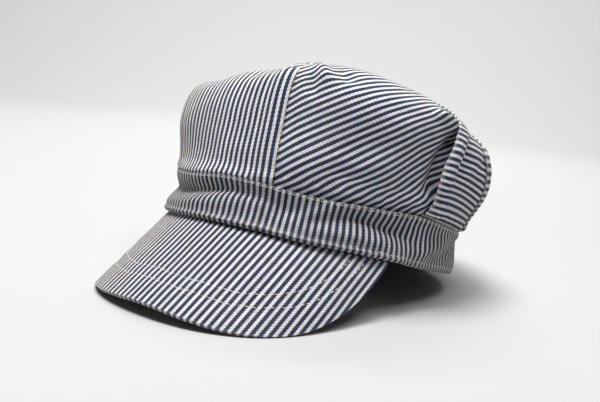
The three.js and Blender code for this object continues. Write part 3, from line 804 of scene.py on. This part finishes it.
def crown_panel(name, panel, first, last, edges, slant, mirrored=1, squares=(70, 130), straight=None):
    """A panel between two seams, each a name and a side. Edges say whether each laps over, runs under or meets.

    Slant turns the stripes from level, and straight is a seam that they run beside, or else the middle.
    """

    def spot(x, y):
        level = y * TIP_END
        seams = [seam(level, *first), seam(level, *last)]
        middle = (seams[0] + seams[1]) / 2
        lap = np.minimum(degrees_of(LAP, middle, level), (seams[1] - seams[0]) / 5)
        lap *= 1 - smooth(0.8, 0.84, level)
        deep = lap * DEEP_LAPS * smooth(0.09, 0.13, level)
        beyond = {"over": 0, "under": lap * smooth(0.15, 0.2, level), "deep": deep, "plain": 0}
        ends = [seams[0] - beyond[edges[0]], seams[1] + beyond[edges[1]]]
        return ends, ends[0] + (ends[1] - ends[0]) * x, level, middle

    def from_edge(x, y):
        """Millimetres to the nearest edge that laps over."""
        ends, turn, level, _ = spot(x, y)
        distances = [np.full(len(x), np.inf)]
        for edge, distance in zip(edges, (turn - ends[0], ends[1] - turn)):
            if edge == "over":
                distances.append(distance / degrees_of(1, turn, level))
        return np.min(distances, axis=0)

    def shape(x, y):
        _, turn, level, _ = spot(x, y)
        lift = 1 - smooth(LAP + 1, LAP + 1 + LAP_EASE, from_edge(x, y))
        lift = lift * smooth(0.11, 0.15, level) * (1 - smooth(0.88, 0.955, level))

        def surface(a, b):
            return crown_surface(a, b, panel)

        facing = facing_out(surface, turn, np.clip(level, 0.006, 0.994), 0.4, 0.006)
        return surface(turn, level) + facing * (LIFT * lift)[:, None]

    # Lengths across the panel are measured on the folded cloth itself, so that stripes run into folds truly
    columns = np.linspace(0, 1, COLUMNS + 1)
    levels = np.linspace(0, 1, ROWS + 1)
    places = shape(np.tile(columns, ROWS + 1), np.repeat(levels, COLUMNS + 1)).reshape(ROWS + 1, COLUMNS + 1, 3)
    lengths = np.zeros((ROWS + 1, COLUMNS + 1))
    lengths[:, 1:] = np.cumsum(np.linalg.norm(np.diff(places, axis=1), axis=2), axis=1)

    def length_across(x, y):
        row = np.clip((y * ROWS).astype(int), 0, ROWS - 1)
        column = np.clip((x * COLUMNS).astype(int), 0, COLUMNS - 1)
        a, b = y * ROWS - row, x * COLUMNS - column
        lower = lengths[row, column] * (1 - b) + lengths[row, column + 1] * b
        upper = lengths[row + 1, column] * (1 - b) + lengths[row + 1, column + 1] * b
        return lower * (1 - a) + upper * a

    rows = np.linspace(0, TIP_END, 241)
    centre_line = crown_base((seam(rows, *first) + seam(rows, *last)) / 2, rows)
    climb = np.concatenate([[0], np.cumsum(np.linalg.norm(np.diff(centre_line, axis=0), axis=1))])
    angle = math.radians(slant)

    def grain(x, y):
        ends, turn, level, middle = spot(x, y)
        start = seam(level, *straight) if straight else middle
        start = np.clip((start - ends[0]) / (ends[1] - ends[0]), 0, 1)
        across = mirrored * (length_across(x, y) - length_across(start, y))
        upwards = np.interp(level, rows, climb)
        return np.stack([
            across * math.sin(angle) - upwards * math.cos(angle),
            across * math.cos(angle) + upwards * math.sin(angle),
        ], axis=1) / 1000

    def wear(x, y):
        return (1 - smooth(0.2, 1.6, from_edge(x, y))) * smooth(0.1, 0.2, y * TIP_END)

    piece = cloth_piece(name, squares, shape, grain, CROWN_WALL, 0.42, wear)
    print(f"{name}: {len(piece.data.polygons)} faces, {climb[-1]:.0f} mm from hem to tip")
    return piece


crown = [crown_panel(
    "crown_front_cloth", "front", ("front", -1), ("front", 1), ("over", "over"), 90,
    squares=(110, 140), straight=("front", 1),
)]
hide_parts("crown_front_panel")

CUTS = [
    # panel, seam in front, seam behind, edges in front and behind, slant of the stripes, squares
    ("side", "front", "rear", ("under", "deep"), 39, (104, 140)),
    ("rear", "rear", "back", ("over", "under"), 0, (60, 140)),
    ("back", "back", "middle", ("over", "plain"), 8, (110, 140)),
]
for panel, in_front, behind, edges, slant, squares in CUTS:
    left = crown_panel(
        f"crown_{panel}_cloth_left", panel, (in_front, 1), (behind, 1), edges, slant, 1, squares,
    )
    right_side = crown_panel(
        f"crown_{panel}_cloth_right", panel, (behind, -1), (in_front, -1), edges[::-1], slant, -1, squares,
    )
    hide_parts(f"crown_{panel}_panel_left")
    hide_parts(f"crown_{panel}_panel_right")
    crown += [left, right_side]

# %% [markdown]
# A material is a graph of nodes. These helpers add the common ones in a line each. A node group is a part of a
# graph that several materials share.

# %% Helpers for nodes


def feed(tree, socket, value):
    """Links a socket, or gives an input its own value."""
    if isinstance(value, bpy.types.NodeSocket):
        tree.links.new(value, socket)
    else:
        socket.default_value = value


def maths(tree, operation, *values):
    made = tree.nodes.new("ShaderNodeMath")
    made.operation = operation
    for socket, value in zip(made.inputs, values):
        feed(tree, socket, value)
    return made.outputs[0]


def mixed(tree, factor, first, second, blend="MIX"):
    made = tree.nodes.new("ShaderNodeMix")
    made.data_type = "RGBA"
    made.blend_type = blend
    feed(tree, made.inputs[0], factor)
    feed(tree, made.inputs[6], first)
    feed(tree, made.inputs[7], second)
    return made.outputs[2]


def noise_node(tree, place, scale):
    """A slow random shade."""
    made = tree.nodes.new("ShaderNodeTexNoise")
    made.inputs["Scale"].default_value = scale
    tree.links.new(place, made.inputs["Vector"])
    return made


def bump_node(tree, shader, height, distance):
    """Shades a material as if it were raised, by at most a distance in metres."""
    made = tree.nodes.new("ShaderNodeBump")
    made.inputs["Strength"].default_value = 1
    made.inputs["Distance"].default_value = distance
    tree.links.new(height, made.inputs["Height"])
    tree.links.new(made.outputs[0], shader.inputs["Normal"])


def new_material(name, values):
    """A material, its nodes and its main shader with some values set."""
    material = bpy.data.materials.new(name)
    material.use_nodes = True
    shader = material.node_tree.nodes["Principled BSDF"]
    for socket, value in values.items():
        shader.inputs[socket].default_value = value
    return material, material.node_tree, shader


def new_group(name, inputs, outputs):
    """A node group with named sockets, and the nodes that stand for its inputs and outputs."""
    group = bpy.data.node_groups.new(name, "ShaderNodeTree")
    for way, sockets in (("INPUT", inputs), ("OUTPUT", outputs)):
        for socket_name, kind in sockets.items():
            group.interface.new_socket(socket_name, in_out=way, socket_type=f"NodeSocket{kind}")
    return group, group.nodes.new("NodeGroupInput").outputs, group.nodes.new("NodeGroupOutput").inputs


# %% [markdown]
# Hickory cloth is a twill. Its warp, the yarns that run along the stripes, is dyed blue and left pale in turn,
# and its weft is a dull blue. Each weft yarn passes over one warp yarn and under three, one step further over
# in each row, which gives the cloth its slanting ribs and small flecks, and makes the stripes' edges toothed.
# All of that is worked out from the UVs, which are real lengths on the bolt, so that it is right at any
# distance. Every cloth of the cap uses it, so it is a node group.

# %% The striped twill
YARNS = 11  # in a blue and a pale stripe together
BLUE_YARNS = 6
TWILL = 4  # yarns from one crossing to the next

twill, given, made = new_group(
    "Striped twill",
    {"Bolt": "Vector", "Stripe": "Float", "Pick": "Float", "Blue": "Color", "Pale": "Color", "Weft": "Color"},
    {"Colour": "Color", "Height": "Float"},
)
calc = functools.partial(maths, twill)
split = twill.nodes.new("ShaderNodeSeparateXYZ")
twill.links.new(given["Bolt"], split.inputs[0])
warp = calc("MULTIPLY", calc("DIVIDE", split.outputs[0], given["Stripe"]), YARNS)
weft = calc("DIVIDE", split.outputs[1], given["Pick"])
rib = calc("FLOORED_MODULO", calc("ADD", warp, weft), TWILL)
tooth = calc("MULTIPLY", calc("SUBTRACT", calc("PINGPONG", rib, TWILL / 2), 1), 0.32)
leaned = calc("ADD", warp, tooth)
yarn = calc("FLOOR", leaned)
in_stripe = calc("FLOORED_MODULO", yarn, YARNS)
is_pale = calc("GREATER_THAN", in_stripe, BLUE_YARNS - 0.5)

across_yarn = calc("SUBTRACT", calc("MULTIPLY", calc("FRACT", leaned), 2), 1)
roundness = calc("SUBTRACT", 1, calc("MULTIPLY", across_yarn, across_yarn))
float_place = calc("FLOORED_MODULO", calc("ADD", yarn, weft), TWILL)
is_weft = calc("LESS_THAN", float_place, 0.8)
over = calc("SINE", calc("MULTIPLY", calc("SUBTRACT", float_place, 0.8), math.pi / 3.2))
over = calc("POWER", calc("MAXIMUM", over, 0), 0.5)
warp_height = calc("MULTIPLY", calc("ADD", calc("MULTIPLY", roundness, 0.6), 0.4), over)
height = calc("ADD", warp_height, calc("MULTIPLY", is_weft, 0.35))

shade = twill.nodes.new("ShaderNodeTexWhiteNoise")
shade.noise_dimensions = "1D"
twill.links.new(yarn, shade.inputs["W"])
slub = noise_node(twill, given["Bolt"], 260)
yarn_shade = calc("ADD", calc("MULTIPLY", shade.outputs[0], 0.30), 0.85)
slub_shade = calc("ADD", calc("MULTIPLY", slub.outputs[0], 0.5), 0.75)
# Painted shade: the cloth is darker where the yarns lie low, in the gaps between them.
painted_gap_shade = calc("ADD", calc("MULTIPLY", height, 0.40), 0.68)
light = calc("MULTIPLY", calc("MULTIPLY", yarn_shade, slub_shade), painted_gap_shade)
grey = twill.nodes.new("ShaderNodeCombineColor")
for socket in grey.inputs:
    twill.links.new(light, socket)
warp_colour = mixed(twill, is_pale, given["Blue"], given["Pale"])
mid_yarn = calc("LESS_THAN", calc("ABSOLUTE", across_yarn), 0.62)
weft_shows = calc("MULTIPLY", is_weft, mid_yarn)
weft_colour = mixed(twill, is_pale, given["Weft"], mixed(twill, 0.3, given["Pale"], given["Weft"]))
cloth_colour = mixed(twill, weft_shows, warp_colour, weft_colour)
twill.links.new(mixed(twill, 1.0, cloth_colour, grey.outputs[0], "MULTIPLY"), made["Colour"])
twill.links.new(height, made["Height"])
print("twill group:", len(twill.nodes), "nodes")

# %% [markdown]
# Cloth fades where it is rubbed: along folded edges, and a little all over, in soft patches. This group
# lightens a colour by the piece's own "wear" attribute and by a slow noise.

# %% Fading
fading, given, made = new_group(
    "Fading", {"Colour": "Color", "Wear": "Float", "Place": "Vector", "Faded": "Color"}, {"Colour": "Color"},
)
calc = functools.partial(maths, fading)
patches = noise_node(fading, given["Place"], 22)
patches.inputs["Detail"].default_value = 3
rubbed = noise_node(fading, given["Place"], 420)
overall = calc("MULTIPLY", calc("SUBTRACT", patches.outputs[0], 0.40), 0.08)
edges = calc("MULTIPLY", given["Wear"], calc("MULTIPLY", rubbed.outputs[0], 0.55))
amount = calc("MAXIMUM", calc("ADD", overall, edges), 0)
fading.links.new(mixed(fading, amount, given["Colour"], given["Faded"]), made["Colour"])
print("fading group:", len(fading.nodes), "nodes")

# %% [markdown]
# The crown, the band and the visor are cut from the same bolt. The band's and the visor's cloth colours are
# darkened, the band's most: this is painted shade, which makes these two parts darker than the crown under the
# same lamps.

# %% The cloths of the crown, band and visor
BLUE = (0.012, 0.040, 0.125, 1)
PALE = (0.80, 0.735, 0.630, 1)
WEFT = (0.075, 0.112, 0.185, 1)
FADED = (0.62, 0.63, 0.62, 1)
PICK = 0.00045  # metres from one weft yarn to the next


def cloth_material(name, roughness, relief, painted_shade=1.0):
    """Striped twill with a relief in millimetres, its colours darkened to a share of themselves as painted shade.
    """
    material, tree, shader = new_material(name, {
        "Roughness": roughness, "Specular IOR Level": 0.10, "Sheen Weight": 0.12, "Sheen Roughness": 0.30,
    })
    bolt = tree.nodes.new("ShaderNodeUVMap")
    bolt.uv_map = "cloth"
    weave = tree.nodes.new("ShaderNodeGroup")
    weave.node_tree = twill
    weave.inputs["Stripe"].default_value = STRIPE / 1000
    weave.inputs["Pick"].default_value = PICK
    for socket, colour in {"Blue": BLUE, "Pale": PALE, "Weft": WEFT}.items():
        # Painted shade: every colour of the cloth is darkened by this share.
        weave.inputs[socket].default_value = [part * painted_shade for part in colour[:3]] + [1]
    tree.links.new(bolt.outputs[0], weave.inputs["Bolt"])
    place = tree.nodes.new("ShaderNodeTexCoord")
    worn = tree.nodes.new("ShaderNodeAttribute")
    worn.attribute_name = "wear"
    fade = tree.nodes.new("ShaderNodeGroup")
    fade.node_tree = fading
    fade.inputs["Faded"].default_value = FADED
    tree.links.new(weave.outputs["Colour"], fade.inputs["Colour"])
    tree.links.new(worn.outputs["Fac"], fade.inputs["Wear"])
    tree.links.new(place.outputs["Object"], fade.inputs["Place"])
    tree.links.new(fade.outputs["Colour"], shader.inputs["Base Color"])
    bump_node(tree, shader, weave.outputs["Height"], relief / 1000)
    return material


crown_cloth = cloth_material("crown striped twill", 0.88, 0.10)
# The band and the visor get painted shade: darker copies of the crown's cloth.
band_cloth = cloth_material("band striped twill", 0.86, 0.10, painted_shade=0.64)
visor_cloth = cloth_material("visor striped twill", 0.84, 0.10, painted_shade=0.80)
for piece in crown:
    piece.data.materials.append(crown_cloth)
band.data.materials.append(band_cloth)
visor.data.materials.append(visor_cloth)

# %% [markdown]
# The thread is undyed cotton, with a fine twist.

# %% Cotton thread
thread, tree, shader = new_material("cotton thread", {"Roughness": 0.7, "Sheen Weight": 0.2})
place = tree.nodes.new("ShaderNodeTexCoord")
twist = noise_node(tree, place.outputs["Object"], 2600)
thread_colour = mixed(tree, twist.outputs[0], (0.74, 0.71, 0.65, 1), (0.90, 0.88, 0.82, 1))
tree.links.new(thread_colour, shader.inputs["Base Color"])
bump_node(tree, shader, twist.outputs[0], 0.00005)
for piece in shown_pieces():
    if piece.name.endswith("_stitches"):
        piece.data.materials.append(thread)

# %% [markdown]
# The studio is a pale floor that curves up far away on every side, like a photographer's paper. A large soft
# lamp hangs above the front of the cap, and a weaker one above the wearer's left. From so high they leave the
# folds their shadows, as in the photograph, and a dim sky fills these. A third lamp lights only the paper.

# %% Floor and light
FLAT_REACH = 1.6
PAPER_CURVE = 1.4

cove = bmesh.new()
profile = [(0.001, 0), (FLAT_REACH, 0), *(
    (FLAT_REACH + PAPER_CURVE * math.sin(a), PAPER_CURVE - PAPER_CURVE * math.cos(a))
    for a in np.linspace(0.1, math.pi / 2, 12)
), (3.0, 2.6)]
corners = [cove.verts.new((out, 0, height)) for out, height in profile]
for first, second in zip(corners, corners[1:]):
    cove.edges.new((first, second))
bmesh.ops.spin(
    cove, geom=cove.verts[:] + cove.edges[:], axis=(0, 0, 1), cent=(0, 0, 0), angle=math.tau, steps=72,
    use_merge=True,
)
bmesh.ops.contextual_create(cove, geom=[edge for edge in cove.edges if edge.calc_length() < 0.0002])
bmesh.ops.recalc_face_normals(cove, faces=cove.faces)
for face in cove.faces:
    face.smooth = True
floor = new_object("studio_floor", cove)
paper, _, _ = new_material("studio paper", {"Base Color": (0.48, 0.48, 0.475, 1), "Roughness": 0.9})
floor.data.materials.append(paper)


def soft_lamp(name, place, size, watts, aim=(0, 0, 0.06)):
    lamp = bpy.data.lights.new(name, "AREA")
    lamp.shape = "DISK"
    lamp.size = size
    lamp.energy = watts
    placed = new_object(name, lamp)
    placed.location = place
    placed.rotation_euler = (Vector(aim) - Vector(place)).to_track_quat("-Z", "Y").to_euler()


soft_lamp("key_lamp", (-0.08, -0.36, 1.50), 0.7, 29.5)
soft_lamp("side_lamp", (0.55, -0.20, 1.45), 0.7, 9)
soft_lamp("paper_lamp", (-0.6, 0.9, 1.7), 1.4, 50, aim=(-1.4, 2.1, 0.25))
sky = bpy.data.worlds.new("sky")
sky.use_nodes = True
background = sky.node_tree.nodes["Background"].inputs
background[0].default_value = (1, 1, 1, 1)
background[1].default_value = 0.09
bpy.context.scene.world = sky
bpy.context.scene.view_settings.view_transform = "Standard"
